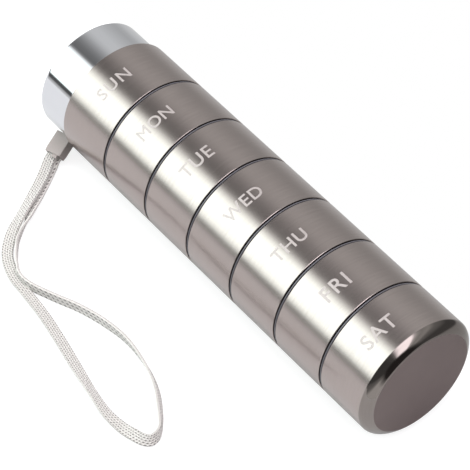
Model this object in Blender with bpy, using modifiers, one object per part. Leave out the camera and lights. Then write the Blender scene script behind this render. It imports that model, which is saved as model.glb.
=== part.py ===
"""A seven-day pill organizer: seven steel sections that screw into one tube, with a chrome lid
and a wrist strap. It lies on its side along X, its closed base at +X and its lid at -X, on Z = 0.

Each section is a steel sleeve over a moulded plastic liner. The liner's floor closes the section
below, its threaded neck screws into the skirt of the section above, and a flat gasket seals them.
"""

import math

import bpy
from mathutils import Matrix, Vector

# The sections, from the closed base to the lid
DAYS = ("saturday", "friday", "thursday", "wednesday", "tuesday", "monday", "sunday")

# Steel body, in metres like every size here
BODY_RADIUS = 0.0190
SECTION_PITCH = 0.0191
STEEL_WALL = 0.0007
EDGE_CHAMFER = 0.0003
BASE_FILLET = 0.0028

# Plastic liners
FLANGE_THICKNESS = 0.0005
FLANGE_SETBACK = 0.0003
NECK_HEIGHT = 0.0040
NECK_WALL = 0.0011
FLOOR_THICKNESS = 0.0012

# Gaskets
GASKET_THICKNESS = 0.0006

# Chrome lid, which is slimmer than the body by its step, and its threaded insert
LID_STEP = 0.0010
LID_LENGTH = 0.0124
LID_WALL = 0.0006
LID_EDGE = 0.0004
INSERT_WALL = 0.0010
INSERT_RIM = 0.0012

# Lug on the lid, which holds the strap
LUG_SETBACK = 0.00575
LUG_ANGLE = math.radians(225)
LUG_THICKNESS = 0.0010
LUG_HALF_WIDTH = 0.0012
LUG_HOLE_RADIUS = 0.0008
LUG_REACH = 0.0024

# Tie cord, strap sleeve and strap
TIE_CORD_RADIUS = 0.00045
TIE_CORD_PLAY = 0.0004
TIE_CORD_BEND = 0.0006
TIE_CORD_LENGTH = 0.0023
SLEEVE_LENGTH = 0.0063
SLEEVE_WIDTH = 0.0052
SLEEVE_THICKNESS = 0.0026
SLEEVE_EDGE = 0.0002
SLEEVE_HEAD = 0.0015
SLEEVE_CHEEK = 0.0005
SLEEVE_ANGLE = math.radians(204)
STRAP_WIDTH = 0.0034
STRAP_THICKNESS = 0.0008
STRAP_EDGE = 0.0002
STRAP_STEP = 0.0032
STRAP_STRAIGHT = 0.0012

# Clearances: between seated pieces, between threads, and under what lies on the table
SEAT_GAP = 0.0003
THREAD_GAP = 0.0003
TABLE_GAP = 0.0001

# Facets round a turned piece, with one flat underneath, and steps in a rounded corner
FACETS = 32
FILLET_STEPS = 4
MERGE_DISTANCE = 0.00001
SHARP_ANGLE = math.radians(30)

# Sizes that follow
SECTION_COUNT = len(DAYS)
BODY_LENGTH = SECTION_COUNT * SECTION_PITCH
HALF_LENGTH = (BODY_LENGTH + LID_LENGTH) / 2
HALF_FACET = math.pi / FACETS
AXIS_HEIGHT = BODY_RADIUS * math.cos(HALF_FACET)
SLEEVE_BORE = BODY_RADIUS - STEEL_WALL
LID_RADIUS = BODY_RADIUS - LID_STEP
LINER_RADIUS = SLEEVE_BORE - SEAT_GAP
FLANGE_RADIUS = BODY_RADIUS - SEAT_GAP
FLANGE_FROM = SECTION_PITCH - FLANGE_SETBACK - FLANGE_THICKNESS
STEEL_TOP = FLANGE_FROM - SEAT_GAP
INSERT_RADIUS = LID_RADIUS - LID_WALL - SEAT_GAP
THREAD_BORE = INSERT_RADIUS - INSERT_WALL
NECK_RADIUS = THREAD_BORE - THREAD_GAP
CUP_RADIUS = NECK_RADIUS - NECK_WALL
GASKET_FROM = NECK_HEIGHT + SEAT_GAP
FLOOR_FROM = GASKET_FROM + GASKET_THICKNESS + SEAT_GAP
CUP_FLOOR = FLOOR_FROM + FLOOR_THICKNESS
BASE_CUP_FROM = STEEL_WALL + SEAT_GAP
LUG_X = LUG_SETBACK - HALF_LENGTH
LUG_PIVOT = LID_RADIUS + LUG_REACH
TIE_CORD_SPREAD = LUG_THICKNESS / 2 + TIE_CORD_PLAY + TIE_CORD_RADIUS
NOTCH_HALF_WIDTH = SLEEVE_WIDTH / 2 - SLEEVE_CHEEK
SLEEVE_OUTLET = SLEEVE_LENGTH - SLEEVE_HEAD
ALONG = Vector((1.0, 0.0, 0.0))

# The strap's route on the table, from the sleeve round the loop and back to it: x and y from the
# lug's hole, how far its lower edge lies above the table, and its tilt in degrees (90 stands it
# on edge)
STRAP_ROUTE = (
    (0.0020, -0.0080, 0.0016, 0),
    (0.0050, -0.0120, 0.0014, 0),
    (0.0083, -0.0168, 0.0014, 8),
    (0.0114, -0.0217, 0.0013, 20),
    (0.0138, -0.0260, 0.0008, 24),
    (0.0161, -0.0302, 0.0004, 12),
    (0.0192, -0.0341, 0.0001, 0),
    (0.0228, -0.0371, 0.0, 0),
    (0.0268, -0.0393, 0.0, 0),
    (0.0316, -0.0406, 0.0, 0),
    (0.0376, -0.0411, 0.0, 4),
    (0.0476, -0.0422, 0.0, 8),
    (0.0576, -0.0438, 0.0, 10),
    (0.0676, -0.0457, 0.0, 10),
    (0.0776, -0.0475, 0.0, 10),
    (0.0856, -0.0484, 0.0, 16),
    (0.0916, -0.0479, 0.0, 30),
    (0.0956, -0.0469, 0.0, 48),
    (0.0984, -0.0457, 0.0, 66),
    (0.1005, -0.0442, 0.0, 80),
    (0.1012, -0.0424, 0.0, 88),
    (0.1004, -0.0409, 0.0, 90),
    (0.0986, -0.0397, 0.0, 90),
    (0.0946, -0.0374, 0.0, 90),
    (0.0877, -0.0335, 0.0, 92),
    (0.0794, -0.0307, 0.0, 92),
    (0.0696, -0.0295, 0.0, 92),
    (0.0606, -0.0306, 0.0, 92),
    (0.0521, -0.0330, 0.0, 92),
    (0.0446, -0.0356, 0.0, 92),
    (0.0371, -0.0376, 0.0, 91),
    (0.0321, -0.0379, 0.0, 90),
    (0.0278, -0.0367, 0.0, 90),
    (0.0243, -0.0349, 0.0, 90),
    (0.0210, -0.0322, 0.0, 91),
    (0.0184, -0.0288, 0.0, 102),
    (0.0158, -0.0248, 0.0, 125),
    (0.0124, -0.0209, 0.0, 152),
    (0.0088, -0.0164, 0.0002, 172),
    (0.0053, -0.0118, 0.0002, 180),
    (0.0022, -0.0077, 0.0004, 180),
)


def clear_scene():
    for item in list(bpy.data.objects):
        bpy.data.objects.remove(item)


def new_collection(name):
    made = bpy.data.collections.new(name)
    bpy.context.scene.collection.children.link(made)
    return made


def new_material(name, colour, roughness, metallic=0.0):
    made = bpy.data.materials.new(name)
    made.use_nodes = True
    shader = made.node_tree.nodes["Principled BSDF"]
    shader.inputs["Base Color"].default_value = (*colour, 1.0)
    shader.inputs["Roughness"].default_value = roughness
    shader.inputs["Metallic"].default_value = metallic
    return made


def place(item, parent, material=None):
    """Put an object into the part's collection, on its parent, with its material."""
    PART.objects.link(item)
    item.parent = parent
    if material is not None:
        item.data.materials.append(material)
    return item


def hang(item, parent):
    """Parent an object and leave it where it stands."""
    bpy.context.view_layer.update()
    item.parent = parent
    item.matrix_parent_inverse = parent.matrix_world.inverted()
    return item


def new_empty(name, location, rotation, parent=None):
    item = place(bpy.data.objects.new(name, None), parent)
    item.empty_display_size = BODY_RADIUS / 2
    item.location = location
    item.rotation_euler = rotation
    return item


def turned(name, profile, parent, material, closed=False):
    """A piece turned about its local Z. The profile holds (radius, height) points and runs down
    its outer side; it starts and ends on the axis unless it is closed."""
    count = len(profile)
    points = [(r * math.cos(HALF_FACET), r * math.sin(HALF_FACET), z) for r, z in profile]
    edges = [(i, (i + 1) % count) for i in range(count if closed else count - 1)]
    mesh = bpy.data.meshes.new(name + "_profile")
    mesh.from_pydata(points, edges, [])
    blank = bpy.data.objects.new(name + "_blank", mesh)
    PART.objects.link(blank)
    screw = blank.modifiers.new("Turn", "SCREW")
    screw.steps = FACETS
    screw.render_steps = FACETS
    screw.use_merge_vertices = True
    screw.merge_threshold = MERGE_DISTANCE
    depsgraph = bpy.context.evaluated_depsgraph_get()
    shape = bpy.data.meshes.new_from_object(blank.evaluated_get(depsgraph))
    bpy.data.objects.remove(blank)
    shape.name = name
    shape.shade_smooth()
    shape.set_sharp_from_angle(angle=SHARP_ANGLE)
    return place(bpy.data.objects.new(name, shape), parent, material)


def fillet(radius, centre, start, end):
    """Points on a rounded corner of a profile, from one angle to another."""
    turn = (end - start) / FILLET_STEPS
    angles = [start + turn * i for i in range(FILLET_STEPS + 1)]
    return [(centre[0] + radius * math.cos(a), centre[1] + radius * math.sin(a)) for a in angles]


def neck_and_flange(flange_radius):
    """The outer side that every liner shares: its rim, its neck and its flange."""
    return [
        (CUP_RADIUS, SECTION_PITCH + NECK_HEIGHT),
        (NECK_RADIUS, SECTION_PITCH + NECK_HEIGHT),
        (NECK_RADIUS, SECTION_PITCH - FLANGE_SETBACK),
        (flange_radius, SECTION_PITCH - FLANGE_SETBACK),
    ]


def steel_sleeve(name, top, parent):
    """A plain steel tube with both outer edges chamfered."""
    profile = [
        (SLEEVE_BORE, top),
        (BODY_RADIUS - EDGE_CHAMFER, top),
        (BODY_RADIUS, top - EDGE_CHAMFER),
        (BODY_RADIUS, EDGE_CHAMFER),
        (BODY_RADIUS - EDGE_CHAMFER, 0.0),
        (SLEEVE_BORE, 0.0),
    ]
    return turned(name, profile, parent, STEEL, closed=True)


def base_shell(name, parent):
    """The drawn steel cup that closes the tube, with its rounded base edge."""
    corner = (BODY_RADIUS - BASE_FILLET, BASE_FILLET)
    quarter = math.pi / 2
    profile = [(0.0, STEEL_WALL)]
    profile += fillet(BASE_FILLET - STEEL_WALL, corner, -quarter, 0.0)
    profile += [
        (SLEEVE_BORE, STEEL_TOP),
        (BODY_RADIUS - EDGE_CHAMFER, STEEL_TOP),
        (BODY_RADIUS, STEEL_TOP - EDGE_CHAMFER),
    ]
    profile += fillet(BASE_FILLET, corner, 0.0, -quarter)
    profile += [(0.0, 0.0)]
    return turned(name, profile, parent, STEEL)


def base_liner(name, parent):
    """The lowest cup, which stands in the drawn shell."""
    profile = [(0.0, BASE_CUP_FROM + FLOOR_THICKNESS), (CUP_RADIUS, BASE_CUP_FROM + FLOOR_THICKNESS)]
    profile += neck_and_flange(FLANGE_RADIUS)
    profile += [
        (FLANGE_RADIUS, FLANGE_FROM),
        (LINER_RADIUS, FLANGE_FROM),
        (LINER_RADIUS, BASE_FILLET),
        (BODY_RADIUS - BASE_FILLET, BASE_CUP_FROM),
        (0.0, BASE_CUP_FROM),
    ]
    return turned(name, profile, parent, LINER)


def skirted_liner(name, parent, under_lid):
    """A cup whose skirt screws onto the neck below. The one under the lid has no wide flange."""
    profile = [(0.0, CUP_FLOOR), (CUP_RADIUS, CUP_FLOOR)]
    if under_lid:
        profile += neck_and_flange(LINER_RADIUS)
    else:
        profile += neck_and_flange(FLANGE_RADIUS)
        profile += [(FLANGE_RADIUS, FLANGE_FROM), (LINER_RADIUS, FLANGE_FROM)]
    profile += [
        (LINER_RADIUS, SEAT_GAP),
        (THREAD_BORE, SEAT_GAP),
        (THREAD_BORE, FLOOR_FROM),
        (0.0, FLOOR_FROM),
    ]
    return turned(name, profile, parent, LINER)


def gasket(name, parent):
    """A flat ring between a neck's rim and the floor above it."""
    profile = [
        (CUP_RADIUS, GASKET_FROM + GASKET_THICKNESS),
        (NECK_RADIUS, GASKET_FROM + GASKET_THICKNESS),
        (NECK_RADIUS, GASKET_FROM),
        (CUP_RADIUS, GASKET_FROM),
    ]
    return turned(name, profile, parent, RUBBER, closed=True)


def lid_shell(name, parent):
    """The chrome cap, with its end edge eased."""
    profile = [
        (0.0, LID_LENGTH),
        (LID_RADIUS - LID_EDGE, LID_LENGTH),
        (LID_RADIUS, LID_LENGTH - LID_EDGE),
        (LID_RADIUS, SEAT_GAP),
        (LID_RADIUS - LID_WALL, SEAT_GAP),
        (LID_RADIUS - LID_WALL, LID_LENGTH - LID_WALL),
        (0.0, LID_LENGTH - LID_WALL),
    ]
    return turned(name, profile, parent, CHROME)


def lid_insert(name, parent):
    """The moulded plug in the lid, with the thread for the last neck under its web."""
    top = LID_LENGTH - LID_WALL - SEAT_GAP
    profile = [
        (0.0, CUP_FLOOR),
        (INSERT_RADIUS - INSERT_RIM, CUP_FLOOR),
        (INSERT_RADIUS - INSERT_RIM, top),
        (INSERT_RADIUS, top),
        (INSERT_RADIUS, 2 * SEAT_GAP),
        (THREAD_BORE, 2 * SEAT_GAP),
        (THREAD_BORE, FLOOR_FROM),
        (0.0, FLOOR_FROM),
    ]
    return turned(name, profile, parent, LINER)


def flat_plate(name, outlines, half_thickness, edge, parent, material):
    """A flat piece from closed outlines in its local XY plane. The first is its edge and the
    others are holes."""
    curve = bpy.data.curves.new(name, "CURVE")
    curve.dimensions = "2D"
    curve.fill_mode = "BOTH"
    curve.extrude = half_thickness - edge
    curve.bevel_depth = edge
    curve.bevel_resolution = 0
    curve.offset = -edge
    for outline in outlines:
        spline = curve.splines.new("POLY")
        spline.points.add(len(outline) - 1)
        spline.use_cyclic_u = True
        for point, (x, y) in zip(spline.points, outline):
            point.co = (x, y, 0.0, 1.0)
    return place(bpy.data.objects.new(name, curve), parent, material)


def arc(radius, start, end, steps):
    """Points on an arc about the origin, in degrees."""
    angles = [math.radians(start + (end - start) * i / steps) for i in range(steps + 1)]
    return [(radius * math.cos(a), radius * math.sin(a)) for a in angles]


def strap_lug(name, parent):
    """The steel tab on the lid: its foot on the lid's side, its round end about the hole."""
    foot = -(LUG_PIVOT - LID_RADIUS * math.cos(HALF_FACET)) + SEAT_GAP
    outline = [(foot, -LUG_HALF_WIDTH), *arc(LUG_HALF_WIDTH, -90, 90, 8), (foot, LUG_HALF_WIDTH)]
    hole = arc(LUG_HOLE_RADIUS, 0, 330, 11)
    return flat_plate(name, [outline, hole], LUG_THICKNESS / 2, 0.0, parent, CHROME)


def strap_sleeve(name, parent):
    """The grey sleeve that grips both ends of the strap, notched at its head for the lug."""
    notch = TIE_CORD_LENGTH + SEAT_GAP
    half = SLEEVE_WIDTH / 2
    outline = [
        (SLEEVE_OUTLET, -half),
        (SLEEVE_OUTLET, half),
        (-SLEEVE_HEAD, half),
        (-SLEEVE_HEAD, NOTCH_HALF_WIDTH),
        (notch, NOTCH_HALF_WIDTH),
        (notch, -NOTCH_HALF_WIDTH),
        (-SLEEVE_HEAD, -NOTCH_HALF_WIDTH),
        (-SLEEVE_HEAD, -half),
    ]
    return flat_plate(name, [outline], SLEEVE_THICKNESS / 2, SLEEVE_EDGE, parent, SLEEVE)


def new_route(name, points, tilts, parent, material):
    """A curve through points, ready for its round or flat section."""
    curve = bpy.data.curves.new(name, "CURVE")
    curve.dimensions = "3D"
    curve.use_fill_caps = True
    curve.twist_mode = "Z_UP"
    spline = curve.splines.new("POLY")
    spline.points.add(len(points) - 1)
    for point, co, tilt in zip(spline.points, points, tilts):
        point.co = (*co, 1.0)
        point.tilt = tilt
    return place(bpy.data.objects.new(name, curve), parent, material)


def tie_cord(name, parent):
    """A thin cord through the lug's hole, with both ends in the sleeve."""
    bend = TIE_CORD_SPREAD - TIE_CORD_BEND
    corner = [(TIE_CORD_BEND - x, bend + y) for x, y in arc(TIE_CORD_BEND, 90, 0, 3)]
    half = [(TIE_CORD_LENGTH, TIE_CORD_SPREAD), *corner]
    points = [(x, y, 0.0) for x, y in half] + [(x, -y, 0.0) for x, y in reversed(half)]
    cord = new_route(name, points, [0.0] * len(points), parent, CORD)
    cord.data.bevel_depth = TIE_CORD_RADIUS
    cord.data.bevel_resolution = 2
    return cord


def smooth_route(stations):
    """Points along a smooth curve through the stations, about one strap step apart."""
    rows = [Vector(s) for s in stations]
    rows = [2 * rows[0] - rows[1], *rows, 2 * rows[-1] - rows[-2]]
    out = []
    for a, b, c, d in zip(rows, rows[1:], rows[2:], rows[3:]):
        count = max(1, round((c - b).xyz.length / STRAP_STEP))
        for i in range(count):
            t = i / count
            bend = (c - a) * t + (2 * a - 5 * b + 4 * c - d) * t**2 + (3 * b - a - 3 * c + d) * t**3
            out.append(b + bend / 2)
    return [*out, rows[-2]]


def strap_end(side, tilt):
    """Two stations straight out of the sleeve's outlet, on its upper or its lower side."""
    out = outward(SLEEVE_ANGLE)
    upward = out.cross(ALONG)
    mouth = strap_pivot() + out * (SLEEVE_OUTLET + SEAT_GAP)
    mouth += upward * side * (STRAP_THICKNESS + SEAT_GAP + TABLE_GAP) / 2
    return [(*mouth, tilt), (*(mouth + out * STRAP_STRAIGHT), tilt)]


def strap_loop(name, parent, material):
    """The flat strap, lying on the table in a loop."""
    half_width = STRAP_WIDTH / 2
    half_thick = STRAP_THICKNESS / 2
    pivot = strap_pivot()
    stations = strap_end(1, 0.0)
    for x, y, rise, degrees in STRAP_ROUTE:
        tilt = math.radians(degrees)
        lies = TABLE_GAP + half_width * abs(math.sin(tilt)) + half_thick * abs(math.cos(tilt))
        stations.append((pivot.x + x, pivot.y + y, lies + rise, tilt))
    route = smooth_route([*stations, *reversed(strap_end(-1, math.pi))])
    strap = new_route(name, [p.xyz for p in route], [p.w for p in route], parent, material)
    flat = half_thick - STRAP_EDGE
    side = half_width - STRAP_EDGE
    corners = [(half_width, -flat), (half_width, flat), (side, half_thick), (-side, half_thick)]
    corners += [(-x, -y) for x, y in corners]
    corners.reverse()
    section = bpy.data.curves.new(name + "_section", "CURVE")
    spline = section.splines.new("POLY")
    spline.points.add(len(corners) - 1)
    spline.use_cyclic_u = True
    for point, (x, y) in zip(spline.points, corners):
        point.co = (x, y, 0.0, 1.0)
    guide = bpy.data.objects.new(name + "_section", section)
    guide.hide_render = True
    guide.display_type = "WIRE"
    GUIDES.objects.link(guide)
    strap.data.bevel_mode = "OBJECT"
    strap.data.bevel_object = guide
    return strap


def build_sections():
    """The chain of sections, each on the axis of the one below. Returns the last axis."""
    lie_down = (0.0, -math.pi / 2, 0.0)
    axis = new_empty("saturday_axis", (HALF_LENGTH, 0.0, AXIS_HEIGHT), lie_down)
    base_shell("saturday_shell", axis)
    base_liner("saturday_liner", axis)
    for day in DAYS[1:]:
        axis = new_empty(day + "_axis", (0.0, 0.0, SECTION_PITCH), (0.0, 0.0, 0.0), axis)
        last = day == DAYS[-1]
        gasket(day + "_gasket", axis)
        skirted_liner(day + "_liner", axis, last)
        steel_sleeve(day + "_sleeve", SECTION_PITCH if last else STEEL_TOP, axis)
    return axis


def build_lid(last_axis):
    """The lid on the last section. Returns its axis."""
    axis = new_empty("lid_axis", (0.0, 0.0, SECTION_PITCH), (0.0, 0.0, 0.0), last_axis)
    gasket("lid_gasket", axis)
    lid_insert("lid_insert", axis)
    lid_shell("lid_shell", axis)
    return axis


def outward(angle):
    """The direction at an angle round the tube, from +Y through the top."""
    return Vector((0.0, math.cos(angle), math.sin(angle)))


def strap_pivot():
    """The middle of the lug's hole, which the strap swings about."""
    return Vector((LUG_X, 0.0, AXIS_HEIGHT)) + outward(LUG_ANGLE) * LUG_PIVOT


def build_strap(lid_axis):
    """The lug, and the strap that swings on it. The swing axis is the lug's hole, along X."""
    pivot = strap_pivot()
    lug_frame = hang(new_empty("strap_lug_frame", pivot, plate_turn(LUG_ANGLE)), lid_axis)
    strap_lug("strap_lug", lug_frame)
    swing = hang(new_empty("strap_swing", pivot, sleeve_turn(SLEEVE_ANGLE)), lid_axis)
    strap_sleeve("strap_sleeve", swing)
    tie_cord("tie_cord", swing)
    hang(strap_loop("strap_loop", None, FABRIC), swing)


def plate_turn(angle):
    """Rotation that sends local X out along an angle in the YZ plane, and local Z along X."""
    out = outward(angle)
    return frame_of(out, ALONG.cross(out), ALONG)


def sleeve_turn(angle):
    """Rotation that sends local X out along an angle in the YZ plane, and local Y along X."""
    out = outward(angle)
    return frame_of(out, ALONG, out.cross(ALONG))


def frame_of(x_axis, y_axis, z_axis):
    return Matrix((x_axis, y_axis, z_axis)).transposed().to_euler()


clear_scene()
PART = new_collection("pill_organizer")
GUIDES = new_collection("guides")
STEEL = new_material("brushed_steel", (0.45, 0.43, 0.41), 0.32, 1.0)
CHROME = new_material("chrome", (0.80, 0.81, 0.83), 0.06, 1.0)
LINER = new_material("liner_plastic", (0.12, 0.115, 0.12), 0.30)
RUBBER = new_material("gasket_rubber", (0.30, 0.30, 0.30), 0.70)
SLEEVE = new_material("grey_plastic", (0.42, 0.43, 0.40), 0.50)
FABRIC = new_material("strap_fabric", (0.72, 0.72, 0.70), 0.85)
CORD = new_material("cord_fabric", (0.60, 0.60, 0.58), 0.85)
build_strap(build_lid(build_sections()))
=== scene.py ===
"""A seven-day pill organizer lying on a pale table: a brushed steel tube of seven screw-together
sections, each with its day etched on it, a chrome lid and a knitted wrist strap."""

import math

import bmesh
import bpy
from mathutils import Matrix, Vector


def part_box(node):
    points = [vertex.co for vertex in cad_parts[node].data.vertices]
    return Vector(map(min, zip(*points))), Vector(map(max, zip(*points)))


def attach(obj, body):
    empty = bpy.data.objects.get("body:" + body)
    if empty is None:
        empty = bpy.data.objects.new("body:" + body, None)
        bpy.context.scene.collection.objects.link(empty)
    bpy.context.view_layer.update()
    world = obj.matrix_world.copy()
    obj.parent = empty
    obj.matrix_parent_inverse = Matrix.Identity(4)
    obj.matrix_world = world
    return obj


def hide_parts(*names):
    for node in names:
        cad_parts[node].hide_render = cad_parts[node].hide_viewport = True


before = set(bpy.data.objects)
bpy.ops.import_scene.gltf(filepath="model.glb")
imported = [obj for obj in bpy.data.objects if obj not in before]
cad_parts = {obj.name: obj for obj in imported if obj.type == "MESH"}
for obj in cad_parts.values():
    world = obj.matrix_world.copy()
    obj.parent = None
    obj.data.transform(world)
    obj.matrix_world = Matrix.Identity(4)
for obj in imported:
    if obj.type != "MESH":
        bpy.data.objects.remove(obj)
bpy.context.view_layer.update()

MM = 0.001
DAYS = ("saturday", "friday", "thursday", "wednesday", "tuesday", "monday", "sunday")

# Sizes of the tube, read from the frame
CAD_FACETS = 32
FACET_COS = math.cos(math.pi / CAD_FACETS)
SHELL_LOW, SHELL_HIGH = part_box("saturday_shell")
FIRST_LOW, FIRST_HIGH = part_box("friday_sleeve")
_, SECOND_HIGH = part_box("thursday_sleeve")
LID_LOW, LID_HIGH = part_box("lid_shell")
BASE_X = SHELL_HIGH.x
BODY_RADIUS = SHELL_HIGH.y / FACET_COS
AXIS_Z = (SHELL_LOW.z + SHELL_HIGH.z) / 2
PITCH = FIRST_HIGH.x - SECOND_HIGH.x
STEEL_TOP = FIRST_HIGH.x - FIRST_LOW.x
LID_RADIUS = LID_HIGH.y / FACET_COS
LID_LENGTH = BASE_X - len(DAYS) * PITCH - LID_LOW.x

# Walls and seats, as in the solids
STEEL_WALL = 0.7 * MM
LID_WALL = 0.6 * MM
INSERT_WALL = 1.2 * MM
SEAT = 0.3 * MM
BASE_FILLET = 2.8 * MM
FLANGE_FROM = STEEL_TOP + 0.38 * MM
FLANGE_TO = PITCH - 0.36 * MM
FLANGE_RADIUS = BODY_RADIUS - SEAT
LINER_RADIUS = BODY_RADIUS - STEEL_WALL - SEAT
INSERT_RADIUS = LID_RADIUS - LID_WALL - SEAT
THREAD_BORE = INSERT_RADIUS - 1.0 * MM
NECK_RADIUS = THREAD_BORE - 0.3 * MM
CUP_RADIUS = NECK_RADIUS - 1.1 * MM
NECK_HEIGHT = 4.0 * MM
GASKET_FROM = NECK_HEIGHT + SEAT
GASKET_TO = GASKET_FROM + 0.6 * MM
FLOOR_FROM = GASKET_TO + SEAT
CUP_FLOOR = FLOOR_FROM + 1.2 * MM
FIRST_CUP_FLOOR = 2.2 * MM

# How finely curves are drawn, how widely edges are eased, where the base's edge turns in, from
# the base and in from the side, how thin a layer counts as the flat base, and how far the
# liners' flanges stand proud of their solids
SEGMENTS = 160
CORNER_STEPS = 8
ROLL_STEPS = 12
EASE = 0.05 * MM
SLEEVE_EASE = 0.12 * MM
LID_EASE = 0.25 * MM
ROLL_KNEE = (0.45 * BASE_FILLET, 0.28 * MM)
BASE_SKIN = 0.05 * MM
FLANGE_PROUD = 0.1 * MM

# White table: its edges in X and Y. Past them the studio is dim, and pale to the camera. Its
# tone and its glow, as it lights the part and as the camera sees it
TABLE_X = (-0.40, 0.110)
TABLE_Y = (-0.45, 0.030)
TABLE_GAP = 0.1 * MM
TABLE_LIT = (0.60, 0.05)
TABLE_SEEN = (0.30, 0.80)

# Camera
CAMERA_PLACE = (0.34755, -0.27930, 0.51752)
CAMERA_AZIMUTH = 51.64
CAMERA_ELEVATION = 48.55
CAMERA_LENS = 184.55

# Strap: the hole in the lug that it hangs from, as in the solids
LUG_PIVOT = LID_RADIUS + 2.4 * MM
LUG_ANGLE = math.radians(225)
LUG_THICK = 1.0 * MM
PIVOT = Vector(
    (
        LID_LOW.x + 5.75 * MM,
        LUG_PIVOT * math.cos(LUG_ANGLE),
        AXIS_Z + LUG_PIVOT * math.sin(LUG_ANGLE),
    )
)

# The soft grip on the tape's ends. It is swivelled on the lug, and wider and thicker than its
# solid. Its head, its outlet and the end of its slot are measured from the lug's hole
GRIP_ANGLE = math.radians(204)
GRIP_SWIVEL = math.radians(16)
GRIP_DROP = Vector((0.0, math.cos(GRIP_ANGLE), math.sin(GRIP_ANGLE)))
GRIP_OUT = GRIP_DROP * math.cos(GRIP_SWIVEL) + Vector((math.sin(GRIP_SWIVEL), 0.0, 0.0))
GRIP_ACROSS = Vector((math.cos(GRIP_SWIVEL), 0.0, 0.0)) - GRIP_DROP * math.sin(GRIP_SWIVEL)
GRIP_UP = Vector((0.0, GRIP_DROP.z, -GRIP_DROP.y))
GRIP_OFFSET = -0.6 * MM
GRIP_WIDTH = 5.6 * MM
GRIP_THICK = 3.5 * MM
GRIP_LIFT = 0.3 * MM
GRIP_HEAD = 1.7 * MM
GRIP_WALL = 0.25 * MM
GRIP_OUTLET = 5.3 * MM
GRIP_RIM = 0.35 * MM
GRIP_MOUTH_DEPTH = 2.0 * MM
GRIP_SLOT_END = 1.3 * MM
GRIP_CUTS = 5
GRIP_EASE = 0.3 * MM

# The thin tie through the lug's hole
TIE_DIAMETER = 0.9 * MM
TIE_BEND = 0.6 * MM
TIE_PLAY = 0.1 * MM
TIE_ENDS = (2.3 * MM, 1.4 * MM)
TIE_STITCH = 0.8 * MM
TIE_SIDES = 12

# The knitted tape: its section, the steps along it, its length outside the grip, and how far
# its ends lie from the grip's middle and run straight
TAPE_WIDTH = 3.4 * MM
TAPE_THICK = 0.8 * MM
TAPE_EDGE = 0.28 * MM
TAPE_STEP = 0.8 * MM
TAPE_ASIDE = 0.5 * MM
TAPE_STRAIGHT = 1.2 * MM

# Its stitches: their length, the columns across it, their slant, how a gap narrows along and
# across, where the painted shade in a gap starts to pale and ends, how far in from the edge the
# painted shade along the edges starts and is full, in columns, and how many the back has for each
# one on the front
STITCH = 0.95 * MM
STITCH_COLUMNS = 5
STITCH_SLANT = 0.35
STITCH_STEEPNESS = (0.9, 1.6)
STITCH_HOLE = (0.26, 0.47)
EDGE_SHADE = (0.25, 0.05)
BACK_STITCH = 0.6

# The tape's route in millimetres: x, y, how far its lower edge lies above the table, and its
# tilt in degrees
TAPE_ROUTE = (
    (-65.4, -22.4, 1.6, 0),
    (-62.3, -26.4, 1.4, 0),
    (-59.0, -31.2, 1.4, 8),
    (-55.9, -36.1, 1.3, 20),
    (-53.5, -40.4, 0.8, 24),
    (-51.2, -44.6, 0.4, 12),
    (-48.1, -48.5, 0.1, 0),
    (-44.5, -51.5, 0.0, 0),
    (-40.3, -53.45, 0.0, 0),
    (-35.54, -54.8, 0.0, -8),
    (-29.57, -55.33, 0.0, -12),
    (-19.45, -56.3, 0.0, -14),
    (-9.5, -57.95, 0.0, -14),
    (0.43, -59.93, 0.0, -18),
    (10.38, -61.8, 0.0, -33),
    (18.3, -62.8, 0.0, -20),
    (24.3, -62.3, 0.0, 2),
    (28.66, -61.58, 0.0, 28),
    (31.68, -60.73, 0.0, 44),
    (33.5, -59.35, 0.0, 58),
    (33.45, -57.1, 0.0, 72),
    (32.5, -55.55, 0.0, 82),
    (31.19, -54.24, 0.0, 82),
    (27.48, -51.57, 0.0, 73),
    (20.61, -47.63, 0.0, 70),
    (12.2, -45.0, 0.0, 74),
    (2.3, -43.9, 0.0, 84),
    (-6.7, -45.0, 0.0, 92),
    (-15.2, -47.4, 0.0, 92),
    (-22.4, -50.47, 0.0, 92),
    (-29.86, -53.27, 0.0, 91),
    (-34.95, -53.67, 0.0, 90),
    (-39.55, -51.56, 0.0, 90),
    (-43.0, -49.3, 0.0, 90),
    (-46.3, -46.6, 0.0, 91),
    (-48.9, -43.2, 0.0, 102),
    (-51.5, -39.2, 0.0, 125),
    (-54.75, -35.3, 0.0, 152),
    (-58.05, -30.8, 0.2, 172),
    (-61.3, -26.2, 0.2, 180),
    (-64.15, -22.1, 0.4, 180),
)

# Screw thread: how far a piece lifts in a turn, the ridge's section and how deep it sits in
# the wall, and where ridges start and end from the lower edge of a neck or a skirt
THREAD_LEAD = 3.0 * MM
RIDGE_WIDTH = 0.8 * MM
RIDGE_SLOPE = 0.25 * RIDGE_WIDTH
RIDGE_HEIGHT = 0.22 * MM
RIDGE_SINK = 0.05 * MM
RIDGE_STEPS = 96
NECK_RIDGE_FROM = 0.1 * MM
SKIRT_RIDGE_FROM = 0.45 * MM
LID_RIDGE_FROM = 0.75 * MM
SKIRT_RIDGE_TO = 3.4 * MM

# Each day's name: its word, how far its middle lies from the section's lower edge in mm, its
# angle round the tube from +Y through the top, its letters' size in mm and their spacing
DAY_NAMES = {
    "saturday": ("SAT", 9.8, 112.2, 6.1, 1.1),
    "friday": ("FRI", 8.9, 109.9, 6.4, 1.14),
    "thursday": ("THU", 8.7, 110.6, 5.5, 1.1),
    "wednesday": ("WED", 9.0, 111.4, 5.4, 1.1),
    "tuesday": ("TUE", 10.0, 112.5, 5.8, 1.1),
    "monday": ("MON", 9.9, 112.2, 5.3, 1.05),
    "sunday": ("SUN", 10.1, 112.0, 5.5, 1.2),
}

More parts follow.
